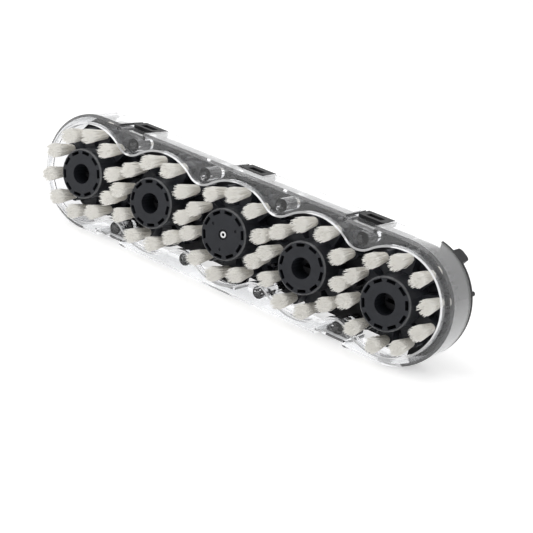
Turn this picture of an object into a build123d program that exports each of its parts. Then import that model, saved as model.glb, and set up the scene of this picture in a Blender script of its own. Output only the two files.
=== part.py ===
from build123d import *
import math
import os

# Spin brush block: a row of gear-coupled rotary brushes on a carrier plate, under a clear guard.
# X runs along the row, the brushes face -Y and Z is up. The origin is on the drive axis, where the
# drive shaft's free stub starts. Depths are millimetres forward of that point (towards -Y).

# Gear train: an odd number of teeth per tuft lets equal wheels mesh half a tuft pitch apart
tuft_count = 10
teeth_per_tuft = 3
tooth_module = 1.7
pressure_angle = 20.0
tooth_rise = 0.7
flank_gap = 0.3
gear_face = 7.0
brush_count = 5

# Tufts and the plate of arms that holds them
tuft_circle_r = 23.0
tuft_root_r = 2.4
tuft_tip_r = 4.2
tuft_length = 19.5
tuft_sides = 6
socket_depth = 7.0
socket_wall = 0.9
socket_clear = 0.1
arm_plate = 8.0
arm_gap = 0.5
arm_corner = 1.2
anchor_width = 1.6
anchor_thick = 0.6

# Brush hubs
hub_r = 14.6
hub_sides = 30
hub_height = 15.2
hub_chamfer = 0.8
hub_bore_r = 5.9
hub_bore_sides = 20
slot_inner_r = 11.4
slot_width = 1.8
slot_depth = 12.0
slot_rib = 3.0
dimple_r = 0.9
dimple_sides = 8
dimple_depth = 0.6
dimple_circle_r = 8.5
dimple_count = 3
dimple_start = 14.0

# Snap posts that carry the idler brushes
post_r = 4.0
post_sides = 20
post_hook = 0.7
post_hook_root = 3.0
post_hook_width = 4.0
post_nose = 3.2
post_slit = 2.2
post_slit_depth = 14.0
bearing_length = 18.0
running_clear = 0.05
axial_play = 0.5
hook_play = 0.3

# Drive shaft, its bush and retaining clip
shaft_r = 2.38
shaft_stub = 14.0
shaft_centre_r = 0.9
shaft_centre_depth = 2.0
shaft_flat = 0.5
shaft_flat_length = 6.0
shaft_recess_r = 2.9
shaft_recess_depth = 1.2
shaft_sink = 0.2
press_clear = 0.01
bush_wall = 2.0
bush_flange = 2.0
bush_flange_thick = 1.5
bush_clear = 0.03
clip_thick = 0.7
clip_groove = 0.5
clip_rim = 2.4
clip_clear = 0.05
clip_play = 0.3
clip_mouth = 3.0

# Carrier plate and its rear ribs
plate_thick = 2.5
plate_margin = 1.0
ear_start = 8.0
rear_rib = 1.8
rear_height = 4.0
drive_boss_wall = 3.6
drive_boss_height = 6.0

# Lugs and pegs behind the carrier's ends
lug_angle = 58.0
lug_width = 8.0
lug_thick = 3.4
lug_reach = 11.0
lug_round = 3.0
lug_inset = 0.8
peg_angle = 20.5
peg_r = 1.4
peg_reach = 6.0
peg_inset = 1.1

# Clear guard
opening_clear = 1.4
nose_r = 11.3
lip_wall = 1.2
lip_height = 3.2
land_width = 4.4
guard_wall = 1.6
guard_bevel = 1.6
guard_depth = 23.0
boss_r = 3.8
boss_sides = 12
boss_gap = 0.9
boss_pin_r = 2.0
boss_pin_rib = 1.2
boss_pin_reach = 6.0
boss_pin_clear = 0.1
notch_width = 2.6
notch_depth = 1.2

# Snap loops on the carrier and the wedge catches that they hook
loop_offset = -3.5
loop_width = 16.0
loop_thick = 1.9
loop_reach = 13.5
loop_root = 5.0
loop_window = 9.0
loop_bar = 3.0
loop_corner = 1.6
loop_side_clear = 0.75
loop_floor_clear = 0.1
loop_front_clear = 2.5
pocket_depth = 2.2
catch_clear = 0.3
catch_side_clear = 0.4
catch_height = 1.8

# Sizes that follow
gear_teeth = teeth_per_tuft * tuft_count
pitch_r = tooth_module * gear_teeth / 2
tip_r = pitch_r + tooth_rise * tooth_module
base_r = pitch_r * math.cos(math.radians(pressure_angle))
brush_pitch = 2 * pitch_r
row_length = (brush_count - 1) * brush_pitch
brush_x = [i * brush_pitch - row_length / 2 for i in range(brush_count)]
drive_index = brush_count // 2
tuft_step = 360 / tuft_count

clip_front = clip_clear + clip_thick
bush_rear = clip_front + clip_play
boss_rear = bush_rear + bush_flange_thick
plate_rear = boss_rear + drive_boss_height
plate_front = plate_rear + plate_thick
rib_rear = plate_rear - rear_height

gear_rear = plate_front + axial_play
gear_front = gear_rear + gear_face
arm_front = gear_front + arm_plate
hub_front = arm_front + hub_height
tuft_front = arm_front + tuft_length
bearing_end = gear_rear + bearing_length

socket_r = tuft_root_r + socket_clear
arm_tip_r = tuft_circle_r + socket_r + socket_wall
arm_width = 2 * (socket_r + socket_wall)
socket_floor = arm_front - socket_depth

plate_r = tip_r + plate_margin
opening_r = tuft_circle_r + tuft_tip_r + opening_clear
guard_r = opening_r + lip_wall + land_width
guard_rear = plate_front
guard_front = guard_rear + guard_depth
land_rear = guard_front - guard_wall
pocket_r = guard_r - pocket_depth
nose_z = math.sqrt((opening_r + nose_r) ** 2 - (brush_pitch / 2) ** 2) - nose_r
boss_z = nose_z + lip_wall + boss_gap + boss_r
boss_x = [(a + b) / 2 for a, b in zip(brush_x, brush_x[1:])]
tube_bore_r = math.hypot(boss_pin_r, boss_pin_rib / 2) + boss_pin_clear

loop_span = (boss_x[-1] - boss_x[0]) / 2
loop_x = [loop_offset + side * loop_span for side in (-1, 0, 1)]
loop_low = pocket_r + loop_floor_clear
loop_high = loop_low + loop_thick
loop_bar_rear = plate_rear + loop_reach - loop_bar

bush_r = shaft_r + bush_wall
bush_seat_r = bush_r + bush_clear
shaft_rear = -shaft_stub
shaft_front = hub_front - shaft_sink


def slab(sketch, start, end):
    """Solid of a front-view sketch between two depths."""
    return extrude(Plane.XZ.offset(start) * sketch, end - start)


def stadium(radius):
    """Front-view outline that keeps one radius around the whole row."""
    return SlotCenterToCenter(row_length, 2 * radius)


def ring_of(shape, radius, count, start=0.0):
    """Copies of a front-view sketch around the brush axis, first one at the start angle."""
    return Sketch() + [place * shape for place in PolarLocations(radius, count, start)]


def wheel_phases():
    """Angle of one tuft on each wheel, so that every arm faces a gap of its neighbour."""
    phases = [tuft_step / 2]
    for _ in brush_x[1:]:
        phases.append((180 - phases[-1] + tuft_step / 2) % tuft_step)
    return phases


def on_axis(shape, index, phase):
    """Shape made about the origin axis, turned to its phase and set on one brush axis."""
    return Pos(brush_x[index], 0, 0) * Rot(0, -phase, 0) * shape


# Brush wheels

def involute(radius):
    """Polar angle between the start of an involute flank and a radius, in radians."""
    roll = math.sqrt(max((radius / base_r) ** 2 - 1, 0))
    return roll - math.atan(roll)


def gear_outline():
    """Stub-toothed outline with flanks from the base circle, one tooth centred on angle zero."""
    half_tooth = math.pi / (2 * gear_teeth) - flank_gap / (4 * pitch_r)
    foot = half_tooth + involute(pitch_r)
    flank = [(base_r, foot), (tip_r, foot - involute(tip_r))]
    points = []
    for k in range(gear_teeth):
        centre = 2 * math.pi * k / gear_teeth
        rising = [(r, centre - half) for r, half in flank]
        falling = [(r, centre + half) for r, half in reversed(flank)]
        points += [(r * math.cos(a), r * math.sin(a)) for r, a in rising + falling]
    return Polygon(*points, align=None)


def arm_outline():
    """Radial arms, one under each tuft, clear of the neighbours' teeth."""
    arm = Rectangle(arm_tip_r, arm_width, align=(Align.MIN, Align.CENTER))
    corners = arm.vertices().sort_by(Axis.X)[-2:]
    arm = chamfer(corners, arm_corner)
    return ring_of(arm, 0, tuft_count)


def hub_slots():
    """Ring of cored slots near the hub's edge, bridged by ribs between the tufts."""
    middle = slot_inner_r + slot_width / 2
    length = 2 * middle * math.tan(math.radians(tuft_step / 2)) - slot_rib
    return ring_of(Rectangle(slot_width, length), middle, tuft_count)


def wheel_blank():
    """Toothed wheel, arm plate and hub, before its bore."""
    blank = slab(gear_outline(), gear_rear, gear_front)
    blank += slab(arm_outline(), gear_front + arm_gap, arm_front)
    hub = slab(RegularPolygon(hub_r, hub_sides), gear_rear, hub_front)
    blank += chamfer(hub.faces().sort_by(Axis.Y)[0].edges(), hub_chamfer)
    socket = RegularPolygon(socket_r, tuft_sides)
    blank -= slab(ring_of(socket, tuft_circle_r, tuft_count), socket_floor, arm_front)
    return blank - slab(hub_slots(), hub_front - slot_depth, hub_front)


def idler_wheel():
    """Wheel that turns on a snap post, with a wide bore in front of the bearing."""
    bearing = slab(Circle(post_r + running_clear), gear_rear, bearing_end)
    mouth = slab(RegularPolygon(hub_bore_r, hub_bore_sides), bearing_end, hub_front)
    return wheel_blank() - bearing - mouth


def drive_wheel():
    """Wheel with a closed face, fixed on the drive shaft."""
    bore = slab(Circle(shaft_r + press_clear), gear_rear, hub_front)
    recess = slab(Circle(shaft_recess_r), hub_front - shaft_recess_depth, hub_front)
    dimple = RegularPolygon(dimple_r, dimple_sides)
    dimples = ring_of(dimple, dimple_circle_r, dimple_count, dimple_start)
    return wheel_blank() - bore - recess - slab(dimples, hub_front - dimple_depth, hub_front)


def polygon_ring(radius, depth):
    """Corners of one cross-section of a tuft."""
    angles = [2 * math.pi * k / tuft_sides for k in range(tuft_sides)]
    return [Vector(radius * math.cos(a), -depth, radius * math.sin(a)) for a in angles]


def tuft():
    """Flat-sided bristle bundle that stands in its socket and flares to the tips."""
    rings = [
        polygon_ring(tuft_root_r, socket_floor + anchor_thick),
        polygon_ring(tuft_root_r, arm_front),
        polygon_ring(tuft_tip_r, tuft_front)]
    walls = [Face(Wire.make_polygon(rings[0])), Face(Wire.make_polygon(rings[-1]))]
    for low, high in zip(rings, rings[1:]):
        for k in range(tuft_sides):
            corners = [low[k - 1], low[k], high[k], high[k - 1]]
            walls.append(Face(Wire.make_polygon(corners)))
    return Solid(Shell(walls))


def tufts():
    """All the bundles of one wheel."""
    bundle = Pos(tuft_circle_r, 0, 0) * tuft()
    return [Rot(0, -k * tuft_step, 0) * bundle for k in range(tuft_count)]


def anchors():
    """Flat wire anchor across the foot of each bundle, cut to fit between the socket's flats."""
    turn = math.pi / tuft_sides
    length = 2 * tuft_root_r - anchor_width * math.tan(turn)
    strip = Rectangle(anchor_width, length)
    places = ring_of(strip, tuft_circle_r, tuft_count)
    return [slab(face, socket_floor, socket_floor + anchor_thick) for face in places.faces()]


# Drive line

def drive_shaft():
    """Shaft pressed into the drive wheel, with a clip groove and a flat on its rear stub."""
    shaft = slab(Circle(shaft_r), shaft_rear, shaft_front)
    groove = Circle(2 * shaft_r) - Circle(shaft_r - clip_groove)
    shaft -= slab(groove, 0, clip_front + clip_clear)
    shaft -= slab(Circle(shaft_centre_r), shaft_front - shaft_centre_depth, shaft_front)
    flat = Pos(0, 2 * shaft_r - shaft_flat) * Rectangle(2 * shaft_r, 2 * shaft_r)
    return shaft - slab(flat, shaft_rear, shaft_rear + shaft_flat_length)


def drive_bush():
    """Flanged bush that carries the shaft in the carrier's rear boss."""
    bush = slab(Circle(bush_r), bush_rear, plate_front)
    bush += slab(Circle(bush_r + bush_flange), bush_rear, boss_rear)
    return bush - slab(Circle(shaft_r + running_clear), bush_rear, plate_front)


def shaft_clip():
    """Open retaining ring in the shaft's groove."""
    inner = shaft_r - clip_groove + clip_clear
    outer = shaft_r + clip_rim
    mouth = Rectangle(clip_mouth, 2 * outer, align=(Align.CENTER, Align.MAX))
    return slab(Circle(outer) - Circle(inner) - mouth, clip_clear, clip_front)


# Carrier

def carrier_outline():
    """Plate behind the gears, widened at both ends to the guard's own outline."""
    full = stadium(guard_r)
    middle = Rectangle(row_length + 2 * ear_start, 4 * guard_r)
    return stadium(plate_r) + (full - middle)


def rear_ribs():
    """Stiffening rim, spine and cross ribs on the plate's rear."""
    inside = stadium(plate_r)
    rim = inside - stadium(plate_r - rear_rib)
    spine = Rectangle(row_length + 2 * plate_r, rear_rib)
    cross = Sketch() + [Pos(x, 0) * Rectangle(rear_rib, 2 * plate_r) for x in boss_x]
    return slab(rim + ((spine + cross) & inside), rib_rear, plate_rear)


def snap_post():
    """Split post whose two prongs hook over the front of the bearing."""
    hook_rear = bearing_end + hook_play
    head = hook_rear + post_nose
    side = Polygon(
        (-hook_rear, post_hook_root), (-hook_rear, post_r + post_hook), (-head, post_hook_root), align=None)
    hook = extrude(Plane.YZ.offset(-post_hook_width / 2) * side, post_hook_width)
    post = slab(RegularPolygon(post_r, post_sides), plate_rear, head) + above_and_below(hook, 0)
    slit = Rectangle(3 * post_r, post_slit)
    return post - slab(slit, head - post_slit_depth, head)


def end_lug():
    """Rounded tab behind one end, made on the Z axis."""
    tab = Rectangle(lug_width, lug_reach, align=(Align.CENTER, Align.MIN))
    tab = fillet(tab.vertices().sort_by(Axis.Y)[-2:], lug_round)
    return Pos(0, -plate_rear, guard_r - lug_inset - lug_thick) * extrude(tab, lug_thick)


def end_peg():
    """Locating peg behind one end, made on the Z axis."""
    return slab(Pos(0, guard_r - peg_inset - peg_r) * Circle(peg_r), plate_rear - peg_reach, plate_rear)


def end_fittings():
    """Lug and peg at each end, mirrored about the drive axis."""
    fittings = []
    for side in (-1, 1):
        for shape, angle in ((end_lug(), lug_angle), (end_peg(), peg_angle)):
            fittings.append(Pos(side * row_length / 2, 0, 0) * Rot(0, side * (90 - angle), 0) * shape)
    return fittings


def snap_loop():
    """Loop that rises from the plate's edge and reaches forward over the guard's pocket."""
    middle = (loop_low + loop_high) / 2
    frame = slab(Pos(0, middle) * Rectangle(loop_width, loop_thick), plate_rear, plate_rear + loop_reach)
    frame = chamfer(frame.edges().filter_by(Axis.Z).group_by(Axis.Y)[0], loop_corner)
    window = Pos(0, middle) * Rectangle(loop_window, 2 * loop_thick)
    frame -= slab(window, plate_rear + loop_root, loop_bar_rear)
    riser_low = plate_r - rear_rib
    riser = Pos(0, (riser_low + loop_high) / 2) * Rectangle(loop_width, loop_high - riser_low)
    return frame + slab(riser, plate_rear, plate_front)


def guard_pin():
    """Pin of crossed ribs that locates one of the guard's tubes."""
    cross = Rectangle(2 * boss_pin_r, boss_pin_rib) + Rectangle(boss_pin_rib, 2 * boss_pin_r)
    return slab(Pos(0, boss_z) * cross, plate_rear, plate_front + boss_pin_reach)


def above_and_below(shape, x):
    """A shape made above the row axis, set at x together with its copy below."""
    return [Pos(x, 0, 0) * shape, Pos(x, 0, 0) * mirror(shape, Plane.XY)]


def carrier():
    """Plate with posts, drive boss, guard pins, snap loops and end fittings."""
    body = slab(carrier_outline(), plate_rear, plate_front) + rear_ribs()
    body += slab(Circle(bush_seat_r + drive_boss_wall), boss_rear, plate_front)
    post = snap_post()
    for index, x in enumerate(brush_x):
        if index != drive_index:
            body += Pos(x, 0, 0) * post
    body -= slab(Circle(bush_seat_r), boss_rear, plate_front)
    for x in boss_x:
        body += above_and_below(guard_pin(), x)
    loop = snap_loop()
    for x in loop_x:
        body += above_and_below(loop, x)
    return body + end_fittings()


# Clear guard

def guard_opening():
    """Scalloped opening around the brushes, with a rounded nose between each pair."""
    outline = Sketch() + [Pos(x, 0) * Circle(opening_r) for x in brush_x]
    cusps = [v for v in outline.vertices() if abs(v.X) < row_length / 2]
    return fillet(cusps, nose_r)


def bevelled_shell(radius):
    """Solid of the guard's outside with a bevelled front edge."""
    shell = slab(stadium(radius), guard_rear, guard_front)
    return chamfer(shell.faces().sort_by(Axis.Y)[0].edges(), guard_bevel)


def pocket_zone(growth):
    """Boxes in which the long walls step down to make room for the snap loops."""
    width = loop_width + 2 * loop_side_clear + 2 * growth
    band = Pos(0, guard_r) * Rectangle(width, guard_r)
    ends = (guard_front, plate_rear + loop_reach + loop_front_clear + growth, guard_front)
    zones = []
    for x, end in zip(loop_x, ends):
        zones += above_and_below(slab(band, guard_rear, end), x)
    return Part() + zones


def stepped(full, lowered, zone):
    """One solid that follows the lowered form inside a zone and the full form outside it."""
    return (full - zone) + (lowered & zone)


def catch():
    """Wedge on a pocket floor, steep at the front where the loop's bar hooks it."""
    rear = plate_rear + loop_root + catch_clear
    front = loop_bar_rear - catch_clear
    floor = pocket_r - guard_wall / 2
    tip = pocket_r + catch_height
    side = Polygon((-rear, floor), (-rear, pocket_r), (-front, tip), (-front, floor), align=None)
    width = loop_window - 2 * catch_side_clear
    return extrude(Plane.YZ.offset(-width / 2) * side, width)


def guard_boss():
    """Tube from the land back to the carrier plate, closed at the front."""
    tube = slab(Pos(0, boss_z) * RegularPolygon(boss_r, boss_sides), guard_rear, land_rear)
    bore = RegularPolygon(tube_bore_r, boss_sides)
    return tube - slab(Pos(0, boss_z) * bore, guard_rear, plate_front + boss_pin_reach + boss_pin_clear)


def clear_guard():
    """Clear shell with a scalloped lip, loop pockets, catches and locating tubes."""
    outside = stepped(bevelled_shell(guard_r), bevelled_shell(pocket_r), pocket_zone(0))
    hollow = slab(stadium(guard_r - guard_wall), guard_rear, land_rear)
    lowered = slab(stadium(pocket_r - guard_wall), guard_rear, land_rear)
    opening = guard_opening()
    lip = offset(opening, lip_wall)
    body = outside - stepped(hollow, lowered, pocket_zone(guard_wall))
    body += slab(lip, land_rear, guard_front + lip_height)
    body -= slab(opening, land_rear, guard_front + lip_height)
    notch = Pos(0, guard_r) * Rectangle(notch_width, 2 * notch_depth)
    for x in boss_x[1:-1]:
        body -= Part() + above_and_below(slab(notch, land_rear, guard_front), x)
    for x in boss_x:
        body += above_and_below(guard_boss(), x)
    for x in loop_x:
        body += above_and_below(catch(), x)
    return body


# Assembly

os.makedirs("parts", exist_ok=True)


def save(shape, name):
    export_step(shape, f"parts/{name}.step")


def group(shapes, index, phase):
    """Separate solids of one node, set on one brush axis."""
    return Compound(children=[on_axis(shape, index, phase) for shape in shapes])


save(carrier(), "carrier")
save(clear_guard(), "clear_guard")
save(drive_shaft(), "drive_shaft")
save(drive_bush(), "drive_bush")
save(shaft_clip(), "shaft_clip")
idler = idler_wheel()
driver = drive_wheel()
bundles = tufts()
strips = anchors()
for number, phase in enumerate(wheel_phases()):
    wheel = driver if number == drive_index else idler
    save(on_axis(wheel, number, phase), f"brush_wheel_{number + 1}")
    save(group(bundles, number, phase), f"tufts_{number + 1}")
    save(group(strips, number, phase), f"tuft_anchors_{number + 1}")
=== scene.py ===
import math
import random

import bpy
from mathutils import Matrix, Vector


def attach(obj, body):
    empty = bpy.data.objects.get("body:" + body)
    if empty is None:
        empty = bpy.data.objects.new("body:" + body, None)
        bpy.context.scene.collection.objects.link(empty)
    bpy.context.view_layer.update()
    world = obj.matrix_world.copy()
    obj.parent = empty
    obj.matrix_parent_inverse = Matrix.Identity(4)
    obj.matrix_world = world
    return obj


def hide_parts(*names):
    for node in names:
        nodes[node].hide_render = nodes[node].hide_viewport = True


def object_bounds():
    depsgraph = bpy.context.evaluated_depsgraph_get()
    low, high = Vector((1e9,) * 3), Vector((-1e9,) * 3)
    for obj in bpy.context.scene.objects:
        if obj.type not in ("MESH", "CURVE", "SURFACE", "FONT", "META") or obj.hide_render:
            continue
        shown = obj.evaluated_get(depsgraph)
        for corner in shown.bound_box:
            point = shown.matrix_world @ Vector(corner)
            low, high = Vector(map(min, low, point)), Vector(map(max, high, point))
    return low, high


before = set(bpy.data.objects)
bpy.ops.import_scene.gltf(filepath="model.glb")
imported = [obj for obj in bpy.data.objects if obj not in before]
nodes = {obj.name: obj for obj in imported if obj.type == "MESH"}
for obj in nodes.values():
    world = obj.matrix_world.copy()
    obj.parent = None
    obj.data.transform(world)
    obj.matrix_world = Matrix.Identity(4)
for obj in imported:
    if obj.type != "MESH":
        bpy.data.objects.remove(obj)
cad_low, cad_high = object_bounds()

# Camera, fitted to the photograph: metres, degrees, millimetres of lens and sensor
EYE = Vector((0.3326, -0.61075, 0.1935))
AZIMUTH = 27.935
ELEVATION = 17.271
ROLL = 14.6
LENS = 85.27
SENSOR = 36
CLIP_NEAR = 0.01
CLIP_FAR = 100

# Floor, surroundings and lights: metres, strengths and watts
FLOOR_HALF = 12.0
FLOOR_GLOW = 0.3
WORLD_SEEN = 1.0
WORLD_LIGHT = 0.75
LIGHT_TARGET = Vector((0, -0.02, 0))
KEY_PLACE = Vector((-0.35, -0.55, 0.95))
KEY_SIZE = 0.9
KEY_POWER = 4.5
BACK_PLACE = Vector((-0.54, 1.01, 0.52))
BACK_SIZE = 1.0
BACK_POWER = 1.0

# Places on the solids, as in the part's source: metres and degrees
BRUSH_COUNT = 5
BRUSH_PITCH = 0.051
TUFT_COUNT = 10
TUFT_STEP = 360 / TUFT_COUNT
TUFT_CIRCLE = 0.023
ARM_FRONT = -0.02655
LIP_FRONT = -0.03725

# Which faces get painted highlights or painted shade: limits on the y of their normals and, in
# metres, on their place
LIP_FACING = -0.99
SHAFT_FACING = -0.9
WALL_FACING = 0.8
CHAMFER_FACING = (-0.8, -0.6)
NEAR = 0.0001
WALL_INSIDE = 0.03
CENTRE_R = 0.00092

# Edges that turn by more than this stay sharp
SHARP = math.radians(25)

# Bristles: metres, radians, counts, and shares of a bristle's length or of a tuft
FOOT_DEPTH = 0.002
TUFT_FOOT = 0.00225
TUFT_TIP = 0.0043
BRISTLES = 330
BRISTLE_R = 0.00024
BRISTLE_SIDES = 3
TIP_TAPER = 0.4
STATIONS = (0.0, 0.4, 0.75, 1.0)
TURN_RANGE = 2
BEND = 0.0003
STRAY_BEND = 0.0008
STRAY_SHARE = 0.22
CLUMPS = 26
CLUMP_WORN = 0.09
CLUMP_PULL = 0.25
WORN = 0.2
WORN_SHARE = 0.25
HARDLY_WORN = 0.03
GOLDEN = math.pi * (3 - math.sqrt(5))

# Shading: where the two ends of a factor lie, refraction, and in metres the shaft's bright ring,
# beyond which shade is painted
SPAN_LOW = 0.3
SPAN_HIGH = 0.7
PLASTIC_IOR = 1.49
BRISTLE_IOR = 1.53
BRIGHT_R = 0.00175
BRIGHT_FADE = 0.0003


def new_material(name):
    """A material and its emptied node tree."""
    material = bpy.data.materials.new(name)
    material.use_nodes = True
    material.node_tree.nodes.clear()
    return material, material.node_tree


def surface(tree):
    """A principled shader joined to a material output."""
    shader = tree.nodes.new("ShaderNodeBsdfPrincipled")
    output = tree.nodes.new("ShaderNodeOutputMaterial")
    tree.links.new(shader.outputs["BSDF"], output.inputs["Surface"])
    return shader


def own_place(tree):
    """The object's own coordinates, in metres."""
    return tree.nodes.new("ShaderNodeTexCoord").outputs["Object"]


def noise(tree, scale, detail=3.0):
    """Noise with so many features per metre."""
    texture = tree.nodes.new("ShaderNodeTexNoise")
    texture.inputs["Scale"].default_value = scale
    texture.inputs["Detail"].default_value = detail
    tree.links.new(own_place(tree), texture.inputs["Vector"])
    return texture.outputs["Fac"]


def between(tree, source, low, high):
    """How far a number lies from one value to another, from 0 to 1."""
    node = tree.nodes.new("ShaderNodeMapRange")
    node.inputs["From Min"].default_value = low
    node.inputs["From Max"].default_value = high
    tree.links.new(source, node.inputs["Value"])
    return node.outputs["Result"]


def ramp(tree, source, low, high):
    """Colours between two ends, by a factor."""
    node = tree.nodes.new("ShaderNodeValToRGB")
    first, last = node.color_ramp.elements
    first.position = SPAN_LOW
    first.color = (*low, 1)
    last.position = SPAN_HIGH
    last.color = (*high, 1)
    tree.links.new(source, node.inputs["Fac"])
    return node.outputs["Color"]


def spread(tree, source, low, high):
    """A number between two ends, by a factor."""
    node = tree.nodes.new("ShaderNodeMapRange")
    node.inputs["From Min"].default_value = SPAN_LOW
    node.inputs["From Max"].default_value = SPAN_HIGH
    node.inputs["To Min"].default_value = low
    node.inputs["To Max"].default_value = high
    tree.links.new(source, node.inputs["Value"])
    return node.outputs["Result"]


def bump(tree, height, strength, distance):
    """A bumped normal from a height."""
    node = tree.nodes.new("ShaderNodeBump")
    node.inputs["Strength"].default_value = strength
    node.inputs["Distance"].default_value = distance
    tree.links.new(height, node.inputs["Height"])
    return node.outputs["Normal"]


def moulded(name, low, high, rough, shine):
    """Satin moulded plastic with a fine spark-eroded grain."""
    material, tree = new_material(name)
    shader = surface(tree)
    colour = ramp(tree, noise(tree, scale=220), low, high)
    roughness = spread(tree, noise(tree, scale=900), rough - 0.05, rough + 0.07)
    grain = bump(tree, noise(tree, scale=5200, detail=2.0), strength=0.12, distance=0.0001)
    tree.links.new(colour, shader.inputs["Base Color"])
    tree.links.new(roughness, shader.inputs["Roughness"])
    tree.links.new(grain, shader.inputs["Normal"])
    shader.inputs["IOR"].default_value = PLASTIC_IOR
    shader.inputs["Specular IOR Level"].default_value = shine
    return material


def clear_plastic(name, clearness):
    """Clear moulded plastic with a faint flow ripple and a little haze."""
    material, tree = new_material(name)
    shader = surface(tree)
    shader.inputs["Base Color"].default_value = (0.96, 0.965, 0.975, 1)
    shader.inputs["Transmission Weight"].default_value = clearness
    shader.inputs["IOR"].default_value = PLASTIC_IOR
    roughness = spread(tree, noise(tree, scale=60), 0.02, 0.07)
    ripple = bump(tree, noise(tree, scale=90, detail=1.0), strength=0.03, distance=0.0006)
    tree.links.new(roughness, shader.inputs["Roughness"])
    tree.links.new(ripple, shader.inputs["Normal"])
    return material


def bristle_plastic(name):
    """Ivory bristle plastic, a little darker towards the foot, with small changes of shade; the
    darkening at the foot is painted shade among the crowded roots.
    """
    material, tree = new_material(name)
    shader = surface(tree)
    split = tree.nodes.new("ShaderNodeSeparateXYZ")
    tree.links.new(own_place(tree), split.inputs["Vector"])
    along = between(tree, split.outputs["Y"], ARM_FRONT, cad_low.y)
    # Painted shade: darker towards the bristles' foot
    shade = ramp(tree, along, (0.9, 0.87, 0.81), (0.97, 0.955, 0.92))
    vary = ramp(tree, noise(tree, scale=1500), (0.96, 0.96, 0.95), (1.0, 1.0, 1.0))
    mix = tree.nodes.new("ShaderNodeMix")
    mix.data_type = "RGBA"
    mix.blend_type = "MULTIPLY"
    mix.inputs["Factor"].default_value = 1.0
    tree.links.new(shade, mix.inputs["A"])
    tree.links.new(vary, mix.inputs["B"])
    tree.links.new(mix.outputs["Result"], shader.inputs["Base Color"])
    shader.inputs["Roughness"].default_value = 0.5
    shader.inputs["IOR"].default_value = BRISTLE_IOR
    return material


def metal(name, low, high, rough, grain):
    """Metal with a fine turned or sintered grain."""
    material, tree = new_material(name)
    shader = surface(tree)
    colour = ramp(tree, noise(tree, scale=grain), low, high)
    roughness = spread(tree, noise(tree, scale=2 * grain), rough, rough + 0.12)
    tree.links.new(colour, shader.inputs["Base Color"])
    tree.links.new(roughness, shader.inputs["Roughness"])
    shader.inputs["Metallic"].default_value = 1.0
    return material


def shaft_end_painted_shade(name):
    """Steel end, ground bright near the axis, with shade painted dark towards its rim."""
    material, tree = new_material(name)
    shader = surface(tree)
    flatten = tree.nodes.new("ShaderNodeVectorMath")
    flatten.operation = "MULTIPLY"
    flatten.inputs[1].default_value = (1, 0, 1)
    tree.links.new(own_place(tree), flatten.inputs[0])
    length = tree.nodes.new("ShaderNodeVectorMath")
    length.operation = "LENGTH"
    tree.links.new(flatten.outputs["Vector"], length.inputs[0])
    share = between(tree, length.outputs["Value"], BRIGHT_R - BRIGHT_FADE, BRIGHT_R + BRIGHT_FADE)
    # Painted shade: dark beyond the bright ring round the axis
    colour = ramp(tree, share, (0.7, 0.7, 0.7), (0.03, 0.03, 0.032))
    roughness = spread(tree, noise(tree, scale=6000), 0.25, 0.4)
    tree.links.new(colour, shader.inputs["Base Color"])
    tree.links.new(roughness, shader.inputs["Roughness"])
    shader.inputs["Metallic"].default_value = 1.0
    return material


def by_ray(tree, seen, lighting):
    """One number where a thing is seen, reflected or seen through, another where it lights."""
    path = tree.nodes.new("ShaderNodeLightPath")
    choice = tree.nodes.new("ShaderNodeMapRange")
    choice.inputs["To Min"].default_value = seen
    choice.inputs["To Max"].default_value = lighting
    tree.links.new(path.outputs["Is Diffuse Ray"], choice.inputs["Value"])
    return choice.outputs["Result"]


def floor_material():
    """Plain pale studio floor, whitened where it is seen but not where it lights the block."""
    material, tree = new_material("studio_floor")
    shader = surface(tree)
    pale = ramp(tree, noise(tree, scale=4), (0.93, 0.93, 0.93), (0.95, 0.95, 0.95))
    tree.links.new(pale, shader.inputs["Base Color"])
    shader.inputs["Roughness"].default_value = 0.8
    shader.inputs["Specular IOR Level"].default_value = 0.1
    shader.inputs["Emission Color"].default_value = (1, 1, 1, 1)
    tree.links.new(by_ray(tree, seen=FLOOR_GLOW, lighting=0.0), shader.inputs["Emission Strength"])
    return material


def dress(node, material):
    """Gives a CAD node its material, with its round walls shaded smooth."""
    mesh = nodes[node].data
    mesh.materials.clear()
    mesh.materials.append(material)
    mesh.shade_smooth()
    mesh.set_sharp_from_angle(angle=SHARP)


def paint_edge_highlights(lip, rim):
    """Gives the lip's front, the outer walls and their bevel painted highlights: less clear,
    hazier plastic for the brighter look of lit edges.
    """
    mesh = nodes["clear_guard"].data
    mesh.materials.append(lip)
    mesh.materials.append(rim)
    row_half = (BRUSH_COUNT - 1) * BRUSH_PITCH / 2
    for face in mesh.polygons:
        out = math.hypot(max(abs(face.center.x) - row_half, 0), face.center.z)
        if face.normal.y < LIP_FACING and abs(face.center.y - LIP_FRONT) < NEAR:
            face.material_index = 1
        elif abs(face.normal.y) < WALL_FACING and out > WALL_INSIDE:
            face.material_index = 2


def paint_hub_highlight(number, material):
    """Gives the chamfer round a hub's face a painted highlight: a paler, glossier plastic for the
    light that the edge catches.
    """
    mesh = nodes[f"brush_wheel_{number}"].data
    mesh.materials.append(material)
    low, high = CHAMFER_FACING
    for face in mesh.polygons:
        if low < face.normal.y < high:
            face.material_index = 1


def dress_the_shaft_end(hole, end):
    """Gives the shaft's front end painted shade: near-black steel in its drilled centre, and a
    bright ring with shade painted towards its rim.
    """
    mesh = nodes["drive_shaft"].data
    mesh.materials.append(hole)
    mesh.materials.append(end)
    for face in mesh.polygons:
        if face.center.y < ARM_FRONT and math.hypot(face.center.x, face.center.z) < CENTRE_R:
            face.material_index = 1
        elif face.center.y < ARM_FRONT and face.normal.y < SHAFT_FACING:
            face.material_index = 2


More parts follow.
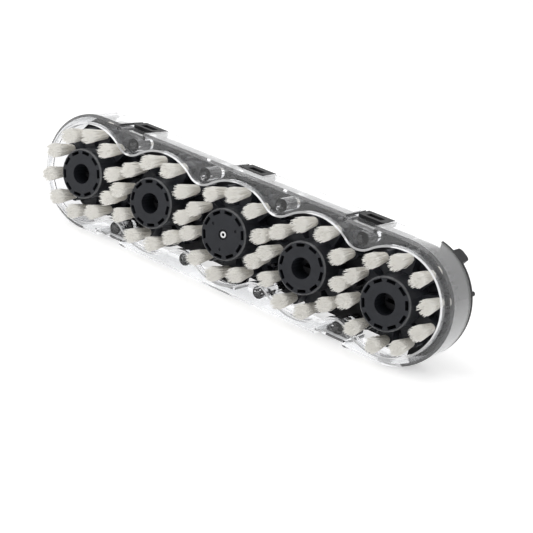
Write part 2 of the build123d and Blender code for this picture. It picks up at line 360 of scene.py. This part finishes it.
def bristle_path(rng, spot, clump, length):
    """Points along one bristle, from its foot: two places across the tuft, and one along it."""
    stray = STRAY_BEND if rng.random() < STRAY_SHARE else BEND
    bend = (rng.gauss(0, stray), rng.gauss(0, stray))
    points = []
    for t in STATIONS:
        reach = TUFT_FOOT + (TUFT_TIP - TUFT_FOOT) * t
        pull = CLUMP_PULL * t ** 3
        u = ((1 - pull) * spot[0] + pull * clump[0]) * reach + bend[0] * t * t
        v = ((1 - pull) * spot[1] + pull * clump[1]) * reach + bend[1] * t * t
        inside = min(1, TUFT_TIP / max(math.hypot(u, v), BRISTLE_R))
        points.append((u * inside, v * inside, t * length))
    return points


def add_bristle(verts, faces, points, centre, turn):
    """Three-sided bristle along its points, drawn in at the tip."""
    start = len(verts)
    last = len(points) - 1
    for k, (u, v, along) in enumerate(points):
        radius = BRISTLE_R * (TIP_TAPER if k == last else 1.0)
        for side in range(BRISTLE_SIDES):
            a = turn + side * 2 * math.pi / BRISTLE_SIDES
            x = centre[0] + u + radius * math.cos(a)
            z = centre[1] + v + radius * math.sin(a)
            verts.append((x, ARM_FRONT + FOOT_DEPTH - along, z))
    for k in range(last):
        low = start + BRISTLE_SIDES * k
        for side in range(BRISTLE_SIDES):
            a = low + side
            b = low + (side + 1) % BRISTLE_SIDES
            faces.append((a, b, b + BRISTLE_SIDES, a + BRISTLE_SIDES))
    top = start + BRISTLE_SIDES * last
    faces.append(tuple(range(top, top + BRISTLE_SIDES)))


def disc_point(rng):
    """A point in the unit disc."""
    r = math.sqrt(rng.random())
    a = rng.uniform(0, 2 * math.pi)
    return r * math.cos(a), r * math.sin(a)


def add_tuft(verts, faces, rng, centre):
    """One flared tuft whose tips gather into small uneven points."""
    full = ARM_FRONT + FOOT_DEPTH - cad_low.y
    clumps = [(disc_point(rng), rng.uniform(0, CLUMP_WORN)) for _ in range(CLUMPS)]
    for i in range(BRISTLES):
        r = math.sqrt((i + 0.5) / BRISTLES)
        a = i * GOLDEN
        spot = (r * math.cos(a), r * math.sin(a))
        clump, short = min(clumps, key=lambda c: math.dist(c[0], spot))
        most = WORN if rng.random() < WORN_SHARE else HARDLY_WORN
        worn = rng.uniform(0, most)
        points = bristle_path(rng, spot, clump, full * (1 - short - worn))
        add_bristle(verts, faces, points, centre, rng.uniform(0, TURN_RANGE))


def bristles(number, material):
    """All the tufts of one brush as one piece that stands for its CAD bundles."""
    rng = random.Random(number)
    verts = []
    faces = []
    middle = (number - (BRUSH_COUNT + 1) / 2) * BRUSH_PITCH
    phase = TUFT_STEP / 2 if number % 2 else 0.0
    for k in range(TUFT_COUNT):
        a = math.radians(phase + k * TUFT_STEP)
        centre = (middle + TUFT_CIRCLE * math.cos(a), TUFT_CIRCLE * math.sin(a))
        add_tuft(verts, faces, rng, centre)
    mesh = bpy.data.meshes.new(f"bristles_{number}")
    mesh.from_pydata(verts, [], faces)
    mesh.shade_smooth()
    mesh.materials.append(material)
    piece = bpy.data.objects.new(f"bristles_{number}", mesh)
    bpy.context.scene.collection.objects.link(piece)
    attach(piece, f"brush_{number}")
    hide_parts(f"tufts_{number}")
    piece.visible_shadow = False


def make_camera():
    """Camera at the photograph's viewing angle."""
    az, el, roll = (math.radians(angle) for angle in (AZIMUTH, ELEVATION, ROLL))
    back = Vector((math.sin(az) * math.cos(el), -math.cos(az) * math.cos(el), math.sin(el)))
    level = Vector((math.cos(az), math.sin(az), 0))
    upright = back.cross(level)
    right = math.cos(roll) * level + math.sin(roll) * upright
    up = -math.sin(roll) * level + math.cos(roll) * upright
    data = bpy.data.cameras.new("camera")
    data.lens = LENS
    data.sensor_width = SENSOR
    data.clip_start = CLIP_NEAR
    data.clip_end = CLIP_FAR
    camera = bpy.data.objects.new("camera", data)
    turned = Matrix((right, up, back)).transposed().to_4x4()
    camera.matrix_world = Matrix.Translation(EYE) @ turned
    bpy.context.scene.collection.objects.link(camera)
    bpy.context.scene.camera = camera


def make_floor():
    """Wide pale floor under the long side that the block stands on."""
    corners = [(-1, -1), (1, -1), (1, 1), (-1, 1)]
    verts = [(x * FLOOR_HALF, y * FLOOR_HALF, cad_low.z) for x, y in corners]
    mesh = bpy.data.meshes.new("floor")
    mesh.from_pydata(verts, [], [(0, 1, 2, 3)])
    mesh.materials.append(floor_material())
    floor = bpy.data.objects.new("floor", mesh)
    bpy.context.scene.collection.objects.link(floor)


def make_world():
    """White surroundings, with one strength for sight and another for light."""
    world = bpy.data.worlds.new("studio")
    bpy.context.scene.world = world
    world.use_nodes = True
    tree = world.node_tree
    tree.nodes.clear()
    background = tree.nodes.new("ShaderNodeBackground")
    background.inputs["Color"].default_value = (1, 1, 1, 1)
    output = tree.nodes.new("ShaderNodeOutputWorld")
    tree.links.new(by_ray(tree, WORLD_SEEN, WORLD_LIGHT), background.inputs["Strength"])
    tree.links.new(background.outputs["Background"], output.inputs["Surface"])


def area_light(name, place, size, power):
    """Soft square light that points at the block."""
    data = bpy.data.lights.new(name, "AREA")
    data.shape = "SQUARE"
    data.size = size
    data.energy = power
    light = bpy.data.objects.new(name, data)
    light.location = place
    light.rotation_mode = "QUATERNION"
    light.rotation_quaternion = (LIGHT_TARGET - place).to_track_quat("-Z", "Y")
    bpy.context.scene.collection.objects.link(light)


wheel_plastic = moulded(
    "wheel_plastic", (0.0112, 0.0124, 0.016), (0.0165, 0.018, 0.0225), rough=0.42, shine=0.3)
carrier_plastic = moulded(
    "carrier_plastic", (0.007, 0.007, 0.0078), (0.011, 0.011, 0.0122), rough=0.5, shine=0.2)
# Paler, glossier plastic that paints a highlight on the hubs' chamfers
hub_chamfer_painted_highlight = moulded(
    "hub_chamfer_painted_highlight", (0.05, 0.052, 0.056), (0.085, 0.087, 0.092), rough=0.4, shine=0.5)
guard_plastic = clear_plastic("guard_plastic", clearness=0.992)
# Less clear plastics that paint highlights on the guard's lip front and outer walls
lip_painted_highlight = clear_plastic("lip_painted_highlight", clearness=0.55)
rim_painted_highlight = clear_plastic("rim_painted_highlight", clearness=0.96)
bristle_ivory = bristle_plastic("bristle_ivory")
ground_steel = metal(
    "ground_steel", (0.52, 0.53, 0.55), (0.68, 0.69, 0.7), rough=0.22, grain=3000)
# Near-black steel that paints shade into the shaft end's drilled centre
shaft_centre_painted_shade = metal(
    "shaft_centre_painted_shade", (0.02, 0.02, 0.021), (0.05, 0.05, 0.052), rough=0.5, grain=3000)
bush_bronze = metal(
    "bush_bronze", (0.4, 0.27, 0.12), (0.6, 0.43, 0.22), rough=0.4, grain=2600)

dress("carrier", carrier_plastic)
dress("clear_guard", guard_plastic)
# Painted highlights on the guard's lip front and outer walls
paint_edge_highlights(lip_painted_highlight, rim_painted_highlight)
nodes["clear_guard"].visible_shadow = False
dress("drive_shaft", ground_steel)
# Painted shade in the shaft end's centre and towards its rim
dress_the_shaft_end(shaft_centre_painted_shade, shaft_end_painted_shade("shaft_end_painted_shade"))
dress("shaft_clip", ground_steel)
dress("drive_bush", bush_bronze)
for number in range(1, BRUSH_COUNT + 1):
    dress(f"brush_wheel_{number}", wheel_plastic)
    # Painted highlight on the hub's chamfer
    paint_hub_highlight(number, hub_chamfer_painted_highlight)
    dress(f"tufts_{number}", bristle_ivory)
    dress(f"tuft_anchors_{number}", ground_steel)
    bristles(number, bristle_ivory)

make_camera()
make_floor()
make_world()
area_light("key", KEY_PLACE, KEY_SIZE, KEY_POWER)
area_light("back", BACK_PLACE, BACK_SIZE, BACK_POWER)

bpy.context.scene.view_settings.view_transform = "Standard"
